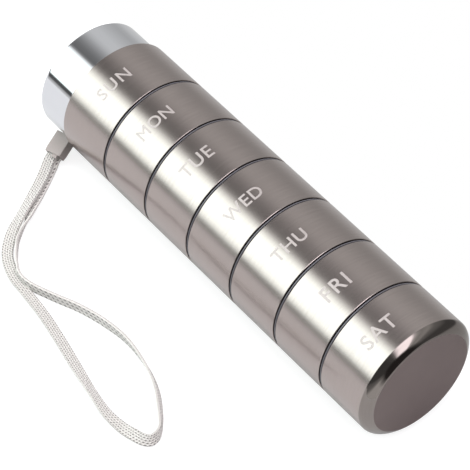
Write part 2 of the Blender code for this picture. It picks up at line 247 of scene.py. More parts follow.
# How much a letter's strokes are thickened, how far it stands over the steel and reaches into
# it, how wide its strips are, and how far up a letter its middle is, as a share of its size
NAME_STROKE = 0.07 * MM
NAME_RISE = 0.02 * MM
NAME_STRIP = 0.4 * MM
NAME_WELD = 0.002 * MM
NAME_MIDDLE = 0.32

# Brushed steel: the hair lines' spacing and length, and the size of its duller patches
HAIR_SPACING = 0.4 * MM
HAIR_LENGTH = 9 * MM
CLOUD_SIZE = 14 * MM

# A colour Mix node's sockets, by number because their names repeat
MIX_FIRST, MIX_SECOND, MIX_RESULT = 6, 7, 2


def add_camera():
    """A long lens from the photograph's viewing angle."""
    data = bpy.data.cameras.new("camera")
    data.lens = CAMERA_LENS
    data.clip_start = 0.01
    cam = bpy.data.objects.new("camera", data)
    bpy.context.scene.collection.objects.link(cam)
    cam.location = CAMERA_PLACE
    cam.rotation_euler = (math.radians(90 - CAMERA_ELEVATION), 0.0, math.radians(CAMERA_AZIMUTH))
    bpy.context.scene.camera = cam


# Materials


def linear(hex_colour):
    """An sRGB hex colour as linear RGBA."""
    parts = [int(hex_colour[i : i + 2], 16) / 255 for i in (0, 2, 4)]
    parts = [c / 12.92 if c <= 0.04045 else ((c + 0.055) / 1.055) ** 2.4 for c in parts]
    return (*parts, 1.0)


def set_inputs(tree, node, inputs):
    """Link each input of a node to its source, or give it its value."""
    for socket, source in inputs:
        if isinstance(source, bpy.types.NodeSocket):
            tree.links.new(source, node.inputs[socket])
        else:
            node.inputs[socket].default_value = source


def add_node(tree, kind, inputs=(), **settings):
    """A node with its settings, its links and its values."""
    node = tree.nodes.new(kind)
    for key, value in settings.items():
        setattr(node, key, value)
    set_inputs(tree, node, inputs)
    return node


def new_material(name):
    """A material with its tree, its shader and its texture coordinates."""
    made = bpy.data.materials.new(name)
    made.use_nodes = True
    tree = made.node_tree
    tree.nodes.clear()
    output = add_node(tree, "ShaderNodeOutputMaterial")
    shader = add_node(tree, "ShaderNodeBsdfPrincipled")
    tree.links.new(shader.outputs["BSDF"], output.inputs["Surface"])
    coords = add_node(tree, "ShaderNodeTexCoord")
    return made, tree, shader, coords


def brushed_steel(name, colours, rough, grain):
    """Stainless steel, brushed round the tube with a fine belt: hair lines run round it, so it
    glints in soft bands along its length and stays satin between them. The lines are drawn
    0.4 mm apart, coarser than the belt's, so that they show."""
    made, tree, shader, coords = new_material(name)
    place = coords.outputs["Object"]
    stretch = (1 / HAIR_SPACING, 1 / HAIR_LENGTH, 1 / HAIR_LENGTH)
    lines = add_node(tree, "ShaderNodeMapping", [("Vector", place), ("Scale", stretch)])
    pattern = [("Vector", lines.outputs["Vector"]), ("Scale", 1.0), ("Detail", 2.0)]
    hair = add_node(tree, "ShaderNodeTexNoise", pattern)
    pattern = [("Vector", place), ("Scale", 1 / CLOUD_SIZE), ("Detail", 3.0)]
    cloud = add_node(tree, "ShaderNodeTexNoise", pattern)
    tones = [
        ("Factor", hair.outputs["Fac"]),
        (MIX_FIRST, linear(colours[0])),
        (MIX_SECOND, linear(colours[1])),
    ]
    shade = add_node(tree, "ShaderNodeMix", tones, data_type="RGBA")
    limits = [("Value", cloud.outputs["Fac"]), ("To Min", rough - 0.03), ("To Max", rough + 0.03)]
    gloss = add_node(tree, "ShaderNodeMapRange", limits)
    relief = [("Height", hair.outputs["Fac"]), ("Strength", grain), ("Distance", 0.01 * MM)]
    bump = add_node(tree, "ShaderNodeBump", relief)
    finish = [
        ("Base Color", shade.outputs[MIX_RESULT]),
        ("Metallic", 1.0),
        ("Roughness", gloss.outputs["Result"]),
        ("Normal", bump.outputs["Normal"]),
    ]
    set_inputs(tree, shader, finish)
    return made


def etched_steel():
    """Laser-etched steel: a frosted, pale skin that scatters light, so that it looks much the
    same from all sides. The frosting is drawn coarser than the real one, so that it shows."""
    made, tree, shader, coords = new_material("etched_steel")
    pattern = [("Vector", coords.outputs["Object"]), ("Scale", 1 / (0.3 * MM)), ("Detail", 2.0)]
    frost = add_node(tree, "ShaderNodeTexNoise", pattern)
    tones = [
        ("Factor", frost.outputs["Fac"]),
        (MIX_FIRST, linear("b6aeab")),
        (MIX_SECOND, linear("c4bcb9")),
    ]
    tone = add_node(tree, "ShaderNodeMix", tones, data_type="RGBA")
    finish = [
        ("Base Color", tone.outputs[MIX_RESULT]),
        ("Metallic", 0.65),
        ("Roughness", 0.55),
    ]
    set_inputs(tree, shader, finish)
    return made


def mirror_chrome():
    """Chrome plate over polished steel: a clean mirror with a few soft patches where fingers
    have dulled it."""
    made, tree, shader, coords = new_material("chrome_plate")
    pattern = [("Vector", coords.outputs["Object"]), ("Scale", 1 / (11 * MM)), ("Detail", 4.0)]
    film = add_node(tree, "ShaderNodeTexNoise", pattern)
    limits = [
        ("Value", film.outputs["Fac"]),
        ("From Min", 0.4),
        ("From Max", 0.8),
        ("To Min", 0.03),
        ("To Max", 0.09),
    ]
    gloss = add_node(tree, "ShaderNodeMapRange", limits)
    tones = [
        ("Factor", film.outputs["Fac"]),
        (MIX_FIRST, linear("e2e3e6")),
        (MIX_SECOND, linear("dbdde1")),
    ]
    tone = add_node(tree, "ShaderNodeMix", tones, data_type="RGBA")
    finish = [
        ("Base Color", tone.outputs[MIX_RESULT]),
        ("Metallic", 1.0),
        ("Roughness", gloss.outputs["Result"]),
    ]
    set_inputs(tree, shader, finish)
    return made


def moulded_plastic(name, colours, rough, grain):
    """Injection-moulded plastic or rubber: an even colour with a fine spark-eroded grain that
    breaks up its sheen, as the filaments of the tie's twisted nylon do. The grain is drawn
    coarser than the real one, so that it shows."""
    made, tree, shader, coords = new_material(name)
    pattern = [("Vector", coords.outputs["Object"]), ("Scale", 1 / grain), ("Detail", 2.0)]
    noise = add_node(tree, "ShaderNodeTexNoise", pattern)
    tones = [
        ("Factor", noise.outputs["Fac"]),
        (MIX_FIRST, linear(colours[0])),
        (MIX_SECOND, linear(colours[1])),
    ]
    tone = add_node(tree, "ShaderNodeMix", tones, data_type="RGBA")
    relief = [("Height", noise.outputs["Fac"]), ("Strength", 0.2), ("Distance", 0.02 * MM)]
    bump = add_node(tree, "ShaderNodeBump", relief)
    finish = [
        ("Base Color", tone.outputs[MIX_RESULT]),
        ("Roughness", rough),
        ("IOR", 1.49),
        ("Normal", bump.outputs["Normal"]),
    ]
    set_inputs(tree, shader, finish)
    return made


def knitted_tape():
    """Flat knitted polyester tape: pale yarn in rows of small open stitches, with painted shade in
    the gaps and along the edges, and a soft sheen."""
    made, tree, shader, coords = new_material("knitted_tape")
    math_node = "ShaderNodeMath"
    place = add_node(tree, "ShaderNodeSeparateXYZ", [("Vector", coords.outputs["UV"])])
    # Stitches: U runs along the tape in stitch lengths, V across it in columns. Each open
    # stitch is a short dash that slants a little, and the next column's lie half a stitch on
    along, across = place.outputs["X"], place.outputs["Y"]
    column = add_node(tree, math_node, [(0, across)], operation="FLOOR")
    staggered = [(0, column.outputs[0]), (1, 0.5), (2, along)]
    shifted = add_node(tree, math_node, staggered, operation="MULTIPLY_ADD")
    from_middle = []
    for source in (shifted.outputs[0], across):
        part = add_node(tree, math_node, [(0, source)], operation="FRACT")
        far = add_node(tree, math_node, [(0, part.outputs[0]), (1, 0.5)], operation="SUBTRACT")
        from_middle.append(far.outputs[0])
    lean = [(0, from_middle[0]), (1, STITCH_SLANT), (2, from_middle[1])]
    slant = add_node(tree, math_node, lean, operation="MULTIPLY_ADD")
    reach = []
    for source, share in zip((from_middle[0], slant.outputs[0]), STITCH_STEEPNESS):
        size = add_node(tree, math_node, [(0, source)], operation="ABSOLUTE")
        scaled = add_node(tree, math_node, [(0, size.outputs[0]), (1, share)], operation="MULTIPLY")
        reach.append(scaled.outputs[0])
    diamond = add_node(tree, math_node, enumerate(reach), operation="ADD")
    limits = [
        ("Value", diamond.outputs[0]),
        ("From Min", STITCH_HOLE[0]),
        ("From Max", STITCH_HOLE[1]),
    ]
    hole = add_node(tree, "ShaderNodeMapRange", limits)
    # The gaps are painted dark: painted shade inside the open stitches.
    tones = [
        ("Factor", hole.outputs["Result"]),
        (MIX_FIRST, linear("524b49")),
        (MIX_SECOND, linear("d9d6d1")),
    ]
    tone = add_node(tree, "ShaderNodeMix", tones, data_type="RGBA")
    half = STITCH_COLUMNS / 2
    middle = add_node(tree, math_node, [(0, across), (1, half)], operation="SUBTRACT")
    outward = add_node(tree, math_node, [(0, middle.outputs[0])], operation="ABSOLUTE")
    limits = [
        ("Value", outward.outputs[0]),
        ("From Min", half - EDGE_SHADE[0]),
        ("From Max", half - EDGE_SHADE[1]),
    ]
    edge = add_node(tree, "ShaderNodeMapRange", limits)
    # A band along each edge is painted darker: painted shade on the tape's rounded edges.
    tones = [
        ("Factor", edge.outputs["Result"]),
        (MIX_FIRST, tone.outputs[MIX_RESULT]),
        (MIX_SECOND, linear("bdb9b5")),
    ]
    shaded_edge = add_node(tree, "ShaderNodeMix", tones, data_type="RGBA")
    relief = [("Height", diamond.outputs[0]), ("Strength", 0.8), ("Distance", 0.25 * MM)]
    bump = add_node(tree, "ShaderNodeBump", relief)
    finish = [
        ("Base Color", shaded_edge.outputs[MIX_RESULT]),
        ("Roughness", 0.75),
        ("Sheen Weight", 0.3),
        ("Normal", bump.outputs["Normal"]),
    ]
    set_inputs(tree, shader, finish)
    return made


# Modelling


def finish_mesh(piece, bevel):
    """Ease a finished piece's sharp edges and shade it."""
    ease = piece.modifiers.new("ease", "BEVEL")
    ease.width = bevel
    ease.segments = 2
    ease.limit_method = "ANGLE"
    ease.angle_limit = math.radians(40)
    bpy.ops.object.modifier_apply(modifier=ease.name)
    bpy.ops.object.shade_smooth_by_angle(angle=math.radians(32))
    return piece


def held_corners(profile, hold):
    """The profile with a point close to each end of its long runs, so that the shading bends
    at the corners alone."""
    out = []
    for a, b in zip(profile, profile[1:]):
        a, b = Vector(a), Vector(b)
        out.append(a)
        if (b - a).length > 6 * hold:
            step = (b - a).normalized() * hold
            out += [a + step, b - step]
    return [*out, Vector(profile[-1])]


def turned(name, profile, material, closed=False, bevel=EASE):
    """A piece turned about the tube's axis. The profile holds (distance from the base, radius)
    points; a vertex is drawn along it and then spun."""
    profile = [*profile, profile[0]] if closed else profile
    profile = held_corners(profile, 2.5 * bevel)
    points = [Vector((BASE_X - s, 0.0, AXIS_Z + r)) for s, r in profile]
    bpy.ops.object.select_all(action="DESELECT")
    bpy.ops.mesh.primitive_plane_add(size=MM, location=points[0])
    piece = bpy.context.object
    piece.name = name
    bpy.ops.object.transform_apply(location=True, rotation=True, scale=True)
    bpy.context.tool_settings.mesh_select_mode = (True, False, False)
    bpy.ops.object.mode_set(mode="EDIT")
    bpy.ops.mesh.select_all(action="SELECT")
    bpy.ops.mesh.merge(type="CENTER")
    for a, b in zip(points, points[1:]):
        bpy.ops.mesh.extrude_region_move(TRANSFORM_OT_translate={"value": b - a})
    bpy.ops.mesh.select_all(action="SELECT")
    bpy.ops.mesh.spin(
        steps=SEGMENTS, angle=math.tau, center=(0.0, 0.0, AXIS_Z), axis=(1.0, 0.0, 0.0)
    )
    bpy.ops.mesh.select_all(action="SELECT")
    bpy.ops.mesh.remove_doubles(threshold=0.001 * MM)
    bpy.ops.mesh.normals_make_consistent(inside=False)
    bpy.ops.object.mode_set(mode="OBJECT")
    piece.data.materials.append(material)
    return finish_mesh(piece, bevel)


def thread_ridge(start, turns, first_turn, foot, tip, material):
    """A screw-thread ridge that winds round the tube's axis from the radius foot to tip, from
    the distance start from the base. It rises THREAD_LEAD a turn towards the lid."""
    bpy.ops.object.select_all(action="DESELECT")
    bpy.context.tool_settings.mesh_select_mode = (True, False, False)
    bpy.ops.mesh.primitive_plane_add(size=1.0, location=(BASE_X - start, 0.0, AXIS_Z))
    ridge = bpy.context.object
    crest = ((RIDGE_SLOPE, tip), (RIDGE_WIDTH - RIDGE_SLOPE, tip))
    corners = ((0.0, foot), *crest, (RIDGE_WIDTH, foot))
    round_plane = (0, 1, 3, 2)
    begin = math.tau * first_turn
    for vertex, index in zip(ridge.data.vertices, round_plane):
        along, radius = corners[index]
        vertex.co = (-along, -radius * math.sin(begin), radius * math.cos(begin))
    bpy.ops.object.mode_set(mode="EDIT")
    bpy.ops.mesh.select_all(action="SELECT")
    bpy.ops.mesh.delete(type="ONLY_FACE")
    bpy.ops.object.mode_set(mode="OBJECT")
    wind = ridge.modifiers.new("wind", "SCREW")
    wind.axis = "X"
    wind.angle = -math.tau * turns
    wind.screw_offset = -THREAD_LEAD * turns
    wind.steps = wind.render_steps = round(RIDGE_STEPS * turns)
    bpy.ops.object.modifier_apply(modifier=wind.name)
    bpy.ops.object.transform_apply(location=True, rotation=True, scale=True)
    bpy.ops.object.mode_set(mode="EDIT")
    bpy.ops.mesh.select_all(action="SELECT")
    bpy.ops.mesh.fill_holes(sides=4)
    bpy.ops.mesh.normals_make_consistent(inside=False)
    bpy.ops.object.mode_set(mode="OBJECT")
    ridge.data.materials.append(material)
    bpy.ops.object.shade_smooth_by_angle(angle=math.radians(32))
    return ridge


def join_onto(piece, others):
    """Join the other pieces onto the first, which keeps its name."""
    bpy.ops.object.select_all(action="DESELECT")
    for other in others:
        other.select_set(True)
    piece.select_set(True)
    bpy.context.view_layer.objects.active = piece
    bpy.ops.object.join()


def neck_thread(low, material):
    """The ridge outside a neck, one turn from its foot."""
    foot, tip = NECK_RADIUS - RIDGE_SINK, NECK_RADIUS + RIDGE_HEIGHT
    return thread_ridge(low + NECK_RIDGE_FROM, 1.0, 0.0, foot, tip, material)


def skirt_thread(low, from_edge, material):
    """The ridge inside a skirt, which runs midway between the turns of the neck's ridge."""
    midway = NECK_RIDGE_FROM + THREAD_LEAD / 2
    first = (from_edge - midway) / THREAD_LEAD
    turns = (SKIRT_RIDGE_TO - from_edge) / THREAD_LEAD
    foot, tip = THREAD_BORE + RIDGE_SINK, THREAD_BORE - RIDGE_HEIGHT
    return thread_ridge(low + from_edge, turns, first, foot, tip, material)


def install(piece, body, node):
    """Put a finished piece on its body, in place of its solid and with its finish."""
    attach(piece, body)
    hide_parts(node)


def inner_corner():
    """The rounded corner inside the drawn shell, from its floor to its wall."""
    radius = BASE_FILLET - STEEL_WALL
    middle = BODY_RADIUS - BASE_FILLET
    angles = [math.radians(90 - 90 * i / CORNER_STEPS) for i in range(CORNER_STEPS + 1)]
    return [(BASE_FILLET - radius * math.sin(a), middle + radius * math.cos(a)) for a in angles]


def rolled_edge():
    """The rim between the side and the base: it curves in from the side and meets the flat
    base at a crease."""
    side = Vector((BASE_FILLET, BODY_RADIUS))
    crease = Vector((0.0, BODY_RADIUS - BASE_FILLET))
    knee = Vector((ROLL_KNEE[0], BODY_RADIUS - ROLL_KNEE[1]))
    out = []
    for i in range(ROLL_STEPS + 1):
        t = i / ROLL_STEPS
        out.append(tuple(side * (1 - t) ** 2 + knee * 2 * t * (1 - t) + crease * t**2))
    return out


def make_steel(steel, dark_painted_rim, dark_painted_base):
    """The drawn shell, whose rim is polished and whose base is satin, and the six sleeves.
    Rim and base are also painted darker than the side: painted shade, standing in for the dark
    room they reflect.
    """
    inner = BODY_RADIUS - STEEL_WALL
    profile = [(STEEL_WALL, 0.0), *inner_corner()]
    profile += [(STEEL_TOP, inner), (STEEL_TOP, BODY_RADIUS), *rolled_edge(), (0.0, 0.0)]
    shell = turned("saturday_drawn_shell", profile, steel)
    shell.data.materials.append(dark_painted_rim)
    shell.data.materials.append(dark_painted_base)
    for face in shell.data.polygons:
        from_base = BASE_X - face.center.x
        out = math.hypot(face.center.y, face.center.z - AXIS_Z)
        if from_base < BASE_FILLET and out > BODY_RADIUS - BASE_FILLET:
            face.material_index = 1
        elif from_base < BASE_SKIN:
            face.material_index = 2
    install(shell, "saturday", "saturday_shell")
    for i, day in enumerate(DAYS[1:], 1):
        low = i * PITCH
        top = low + (PITCH if day == DAYS[-1] else STEEL_TOP)
        ring = [(low, inner), (low, BODY_RADIUS), (top, BODY_RADIUS), (top, inner)]
        tube = turned(day + "_brushed_sleeve", ring, steel, closed=True, bevel=SLEEVE_EASE)
        install(tube, day, day + "_sleeve")


def make_lid(chrome, plastic):
    """The chrome shell, and the moulded plug in it that screws onto the last neck."""
    low = len(DAYS) * PITCH
    top = low + LID_LENGTH
    inner = LID_RADIUS - LID_WALL
    profile = [
        (top - LID_WALL, 0.0),
        (top - LID_WALL, inner),
        (low + SEAT, inner),
        (low + SEAT, LID_RADIUS),
        (top, LID_RADIUS),
        (top, 0.0),
    ]
    shell = turned("lid_chrome_shell", profile, chrome, bevel=LID_EASE)
    install(shell, "lid", "lid_shell")
    inside = [
        (low + CUP_FLOOR, 0.0),
        (low + CUP_FLOOR, INSERT_RADIUS - INSERT_WALL),
        (top - LID_WALL - SEAT, INSERT_RADIUS - INSERT_WALL),
        (top - LID_WALL - SEAT, INSERT_RADIUS),
        (low + 2 * SEAT, INSERT_RADIUS),
        (low + 2 * SEAT, THREAD_BORE),
        (low + FLOOR_FROM, THREAD_BORE),
        (low + FLOOR_FROM, 0.0),
    ]
    plug = turned("lid_thread_insert", inside, plastic)
    join_onto(plug, [skirt_thread(low, LID_RIDGE_FROM, plastic)])
    install(plug, "lid", "lid_insert")


def make_liners(plastic, rubber):
    """Each section's cup, its neck and skirt threaded, and the seal ring on each neck."""
    for i, day in enumerate(DAYS):
        low = i * PITCH
        last = day == DAYS[-1]
        floor = FIRST_CUP_FLOOR if i == 0 else CUP_FLOOR
        shoulder = LINER_RADIUS if last else FLANGE_RADIUS + FLANGE_PROUD
        profile = [
            (low + floor, 0.0),
            (low + floor, CUP_RADIUS),
            (low + PITCH + NECK_HEIGHT, CUP_RADIUS),
            (low + PITCH + NECK_HEIGHT, NECK_RADIUS),
            (low + FLANGE_TO, NECK_RADIUS),
            (low + FLANGE_TO, shoulder),
        ]
        if not last:
            profile += [(low + FLANGE_FROM, shoulder), (low + FLANGE_FROM, LINER_RADIUS)]
        if i == 0:
            under = STEEL_WALL + SEAT
            foot = (under, BODY_RADIUS - BASE_FILLET)
            profile += [(BASE_FILLET, LINER_RADIUS), foot, (under, 0.0)]
        else:
            profile += [
                (low + SEAT, LINER_RADIUS),
                (low + SEAT, THREAD_BORE),
                (low + FLOOR_FROM, THREAD_BORE),
                (low + FLOOR_FROM, 0.0),
            ]
        cup = turned(day + "_cup", profile, plastic)
        threads = [neck_thread(low + PITCH, plastic)]
        if i > 0:
            threads.append(skirt_thread(low, SKIRT_RIDGE_FROM, plastic))
        join_onto(cup, threads)
        install(cup, day, day + "_liner")
    for i, day in enumerate((*DAYS[1:], "lid"), 1):
        low = i * PITCH
        ring = [
            (low + GASKET_FROM, CUP_RADIUS),
            (low + GASKET_FROM, NECK_RADIUS),
            (low + GASKET_TO, NECK_RADIUS),
            (low + GASKET_TO, CUP_RADIUS),
        ]
        seal = turned(day + "_seal_ring", ring, rubber, closed=True)
        install(seal, day + "_seal", day + "_gasket")


def smooth_route(stations):
    """Points along a smooth curve through the stations, about a tape step apart."""
    rows = [Vector(s) for s in stations]
    rows = [2 * rows[0] - rows[1], *rows, 2 * rows[-1] - rows[-2]]
    out = []
    for a, b, c, d in zip(rows, rows[1:], rows[2:], rows[3:]):
        count = max(1, round((c - b).xyz.length / TAPE_STEP))
        for i in range(count):
            t = i / count
            bend = (c - a) * t + (2 * a - 5 * b + 4 * c - d) * t**2 + (3 * b - a - 3 * c + d) * t**3
            out.append(b + bend / 2)
    return [*out, rows[-2]]


def tape_end(side, tilt):
    """Stations straight out of the grip's mouth, on its upper or its lower side."""
    lane = PIVOT + GRIP_UP * side * (TAPE_THICK + SEAT + TABLE_GAP) / 2
    lane += GRIP_ACROSS * (GRIP_OFFSET - side * TAPE_ASIDE)
    mouth = GRIP_OUTLET + SEAT
    reach = (GRIP_OUTLET - TAPE_STRAIGHT, mouth, mouth + TAPE_STRAIGHT)
    return [(*(lane + GRIP_OUT * r), tilt) for r in reach]


def tape_route():
    """The tape's centre line with its tilt at each point, out of the grip and back into it."""
    stations = tape_end(1, 0.0)
    for x, y, rise, degrees in TAPE_ROUTE:
        tilt = math.radians(degrees)
        lies = TABLE_GAP + rise * MM
        lies += TAPE_WIDTH / 2 * abs(math.sin(tilt)) + TAPE_THICK / 2 * abs(math.cos(tilt))
        stations.append((x * MM, y * MM, lies, tilt))
    return smooth_route([*stations, *reversed(tape_end(-1, math.pi))])


def swept(name, points, tilts, section, material, stitch, columns):
    """A tape or cord along a line. Its UV map runs along it in stitches and across or round it
    in columns, so that a stitch pattern follows it. The stitches on its back are larger."""
    bpy.ops.object.select_all(action="DESELECT")
    line = bpy.data.curves.new(name, "CURVE")
    line.dimensions = "3D"
    line.twist_mode = "Z_UP"
    line.use_fill_caps = True
    spline = line.splines.new("POLY")
    spline.points.add(len(points) - 1)
    for point, co, tilt in zip(spline.points, points, tilts):
        point.co = (*co, 1.0)
        point.tilt = tilt
    guide = bpy.data.curves.new(name + "_section", "CURVE")
    ring = guide.splines.new("POLY")
    ring.points.add(len(section) - 1)
    ring.use_cyclic_u = True
    for point, (x, y) in zip(ring.points, section):
        point.co = (x, y, 0.0, 1.0)
    outline = bpy.data.objects.new(name + "_section", guide)
    bpy.context.scene.collection.objects.link(outline)
    line.bevel_mode = "OBJECT"
    line.bevel_object = outline
    piece = bpy.data.objects.new(name, line)
    bpy.context.scene.collection.objects.link(piece)
    bpy.context.view_layer.objects.active = piece
    piece.select_set(True)
    bpy.ops.object.convert(target="MESH")
    piece = bpy.context.object
    bpy.data.objects.remove(outline)
    piece.data.materials.clear()
    piece.data.materials.append(material)
    lay_stitches(piece, points, section, stitch, columns)
    bpy.ops.object.shade_smooth_by_angle(angle=math.radians(50))
    return piece


def lay_stitches(piece, points, section, stitch, columns):
    """The UV map of a swept piece, counted in stitches and columns."""
    along = [0.0]
    for a, b in zip(points, points[1:]):
        along.append(along[-1] + (Vector(b) - Vector(a)).length)
    width = 2 * max(x for x, _ in section)
    count = len(section)
    mesh = piece.data
    uv = mesh.uv_layers.active or mesh.uv_layers.new(name="stitches")
    uv.name = "stitches"
    for face in mesh.polygons:
        turned_under = sum(section[v % count][1] for v in face.vertices) < 0
        scale = BACK_STITCH if turned_under else 1.0
        for loop in face.loop_indices:
            ring, corner_index = divmod(mesh.loops[loop].vertex_index, count)
            across = section[corner_index][0] / width * columns * scale + columns / 2
            uv.data[loop].uv = (along[min(ring, len(along) - 1)] / stitch * scale, across)


def tape_section():
    """The tape's section: flat faces, cut into strips, and well-rounded edges."""
    side, flat = TAPE_WIDTH / 2 - TAPE_EDGE, TAPE_THICK / 2 - TAPE_EDGE
    middles = ((side, flat, 0), (-side, flat, 90), (-side, -flat, 180), (side, -flat, 270))
    corners = []
    for x, y, start in middles:
        for i in range(4):
            a = math.radians(start + 30 * i)
            corners.append((x + TAPE_EDGE * math.cos(a), y + TAPE_EDGE * math.sin(a)))
    out = []
    for (ax, ay), (bx, by) in zip(corners, corners[1:] + corners[:1]):
        strips = 6 if abs(bx - ax) > TAPE_WIDTH / 2 else 1
        out += [(ax + (bx - ax) * i / strips, ay + (by - ay) * i / strips) for i in range(strips)]
    return out


def make_strap(tape, sleeve, cord):
    """The tape, laid out on the table and back, with the grip and the tie that hold it."""
    route = tape_route()
    centres = [p.xyz for p in route]
    strap = swept(
        "knitted_strap", centres, [p.w for p in route], tape_section(), tape, STITCH, STITCH_COLUMNS
    )
    install(strap, "strap", "strap_loop")
    make_grip(sleeve)
    make_tie(cord)


def grip_turn():
    """The grip's frame: X out towards its mouth, Y across it and Z through its thickness."""
    turn = Matrix((GRIP_OUT, GRIP_ACROSS, GRIP_OUT.cross(GRIP_ACROSS))).transposed().to_4x4()
    return Matrix.Translation(PIVOT) @ turn


def select_faces(piece, wanted):
    """Select in edit mode the faces whose centre and normal pass the test."""
    mesh = bmesh.from_edit_mesh(piece.data)
    bpy.context.tool_settings.mesh_select_mode = (False, False, True)
    for face in mesh.faces:
        face.select_set(wanted(face.calc_center_median(), face.normal))
    mesh.select_flush_mode()
    bmesh.update_edit_mesh(piece.data)


def make_grip(material):
    """The soft grey sleeve pressed flat over both ends of the tape, open at its mouth, with a
    slot at its head for the lug."""
    length = GRIP_HEAD + GRIP_OUTLET
    bpy.ops.object.select_all(action="DESELECT")
    centre = ((GRIP_OUTLET - GRIP_HEAD) / 2, GRIP_OFFSET, GRIP_LIFT)
    bpy.ops.mesh.primitive_cube_add(size=1.0, location=centre)
    grip = bpy.context.object
    grip.name = "strap_grip"
    grip.scale = (length, GRIP_WIDTH, GRIP_THICK)
    bpy.ops.object.transform_apply(location=True, rotation=True, scale=True)
    bpy.ops.object.mode_set(mode="EDIT")
    bpy.ops.mesh.select_all(action="SELECT")
    bpy.ops.mesh.subdivide(number_cuts=GRIP_CUTS)
    # The outer rows of vertices move out, so that thin walls are left over the slot
    for vertex in bmesh.from_edit_mesh(grip.data).verts:
        height = vertex.co.z - GRIP_LIFT
        if abs(abs(height) - GRIP_THICK / 3) < 0.01 * MM:
            vertex.co.z = GRIP_LIFT + math.copysign(GRIP_THICK / 2 - GRIP_WALL, height)
    # The mouth, drawn in a little
    select_faces(grip, lambda c, n: n.x > 0.9)
    bpy.ops.transform.resize(value=(1.0, 0.96, 0.92))
    bpy.ops.mesh.inset(thickness=GRIP_RIM)
    mouth = {"value": (-GRIP_MOUTH_DEPTH, 0.0, 0.0)}
    bpy.ops.mesh.extrude_region_move(TRANSFORM_OT_translate=mouth)
    # The slot
    wide, high = GRIP_WIDTH / 6, GRIP_THICK / 2 - GRIP_WALL
    select_faces(grip, lambda c, n: n.x < -0.9 and abs(c.y) < wide and abs(c.z - GRIP_LIFT) < high)
    slot = {"value": (GRIP_HEAD + GRIP_SLOT_END, 0.0, 0.0)}
    bpy.ops.mesh.extrude_region_move(TRANSFORM_OT_translate=slot)
    bpy.ops.object.mode_set(mode="OBJECT")
    grip.data.materials.append(material)
    soften = grip.modifiers.new("soften", "BEVEL")
    soften.width = GRIP_EASE
    soften.segments = 3
    soften.limit_method = "ANGLE"
    soften.angle_limit = math.radians(50)
    bpy.ops.object.modifier_apply(modifier=soften.name)
    grip.matrix_world = grip_turn()
    bpy.ops.object.transform_apply(location=True, rotation=True, scale=True)
    bpy.ops.object.shade_smooth_by_angle(angle=math.radians(35))
    install(grip, "strap", "strap_sleeve")


def make_tie(material):
    """The thin cord through the lug's hole, both ends held in the grip."""
    radius = TIE_DIAMETER / 2
    spread = LUG_THICK / 2 + SEAT + radius + TIE_PLAY
    half = [(end, spread) for end in TIE_ENDS]
    for degrees in range(90, -1, -15):
        a = math.radians(degrees)
        half.append((TIE_BEND * (1 - math.cos(a)), spread - TIE_BEND * (1 - math.sin(a))))
    flat = [(x, y, 0.0) for x, y in half] + [(x, -y, 0.0) for x, y in reversed(half)]
    points = [grip_turn() @ Vector(p) for p in flat]
    ring = [math.tau * i / TIE_SIDES for i in range(TIE_SIDES)]
    section = [(radius * math.cos(a), radius * math.sin(a)) for a in ring]
    tie = swept("tie_loop", points, [0.0] * len(points), section, material, TIE_STITCH, 2)
    install(tie, "strap", "tie_cord")


def make_names(etched):
    """Each section's day, etched through the brushed skin: flat letters cut into strips along
    the word and laid round the tube, their tops towards the lid."""
    for i, day in enumerate(DAYS):
        word, middle, angle, size, spacing = DAY_NAMES[day]
        bpy.ops.object.select_all(action="DESELECT")
        bpy.ops.object.text_add(location=(0.0, 0.0, 0.0))
        name = bpy.context.object
        name.name = day + "_etched_name"
        name.data.body = word
        name.data.align_x = "CENTER"
        name.data.size = size * MM
        name.data.space_character = spacing
        name.data.extrude = NAME_RISE
        name.data.resolution_u = 4
        bpy.ops.object.convert(target="MESH")
        name = bpy.context.object
        bpy.ops.object.mode_set(mode="EDIT")
        bpy.ops.mesh.select_all(action="SELECT")
        bpy.ops.mesh.remove_doubles(threshold=NAME_WELD)
        bpy.ops.mesh.normals_make_consistent(inside=False)
        bpy.ops.transform.shrink_fatten(value=NAME_STROKE, use_even_offset=True)
        for vertex in bmesh.from_edit_mesh(name.data).verts:
            vertex.co.z = math.copysign(NAME_RISE, vertex.co.z)
        half = max(abs(v.co.x) for v in bmesh.from_edit_mesh(name.data).verts)
        cut = -half + NAME_STRIP
        while cut < half:
            bpy.ops.mesh.select_all(action="SELECT")
            bpy.ops.mesh.bisect(plane_co=(cut, 0.0, 0.0), plane_no=(1.0, 0.0, 0.0))
            cut += NAME_STRIP
        bpy.ops.mesh.select_all(action="SELECT")
        bpy.ops.mesh.remove_doubles(threshold=NAME_WELD)
        bpy.ops.mesh.normals_make_consistent(inside=False)
        bpy.ops.object.mode_set(mode="OBJECT")
        left = min(v.co.x for v in name.data.vertices)
        right = max(v.co.x for v in name.data.vertices)
        for vertex in name.data.vertices:
            along = i * PITCH + (middle - NAME_MIDDLE * size) * MM + vertex.co.y
            turn = math.radians(angle) - (vertex.co.x - (left + right) / 2) / BODY_RADIUS
            radius = BODY_RADIUS + vertex.co.z
            vertex.co = (
                BASE_X - along,
                radius * math.cos(turn),
                AXIS_Z + radius * math.sin(turn),
            )
        name.data.materials.clear()
        name.data.materials.append(etched)
        bpy.ops.object.shade_smooth_by_angle(angle=math.radians(30))
        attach(name, day)


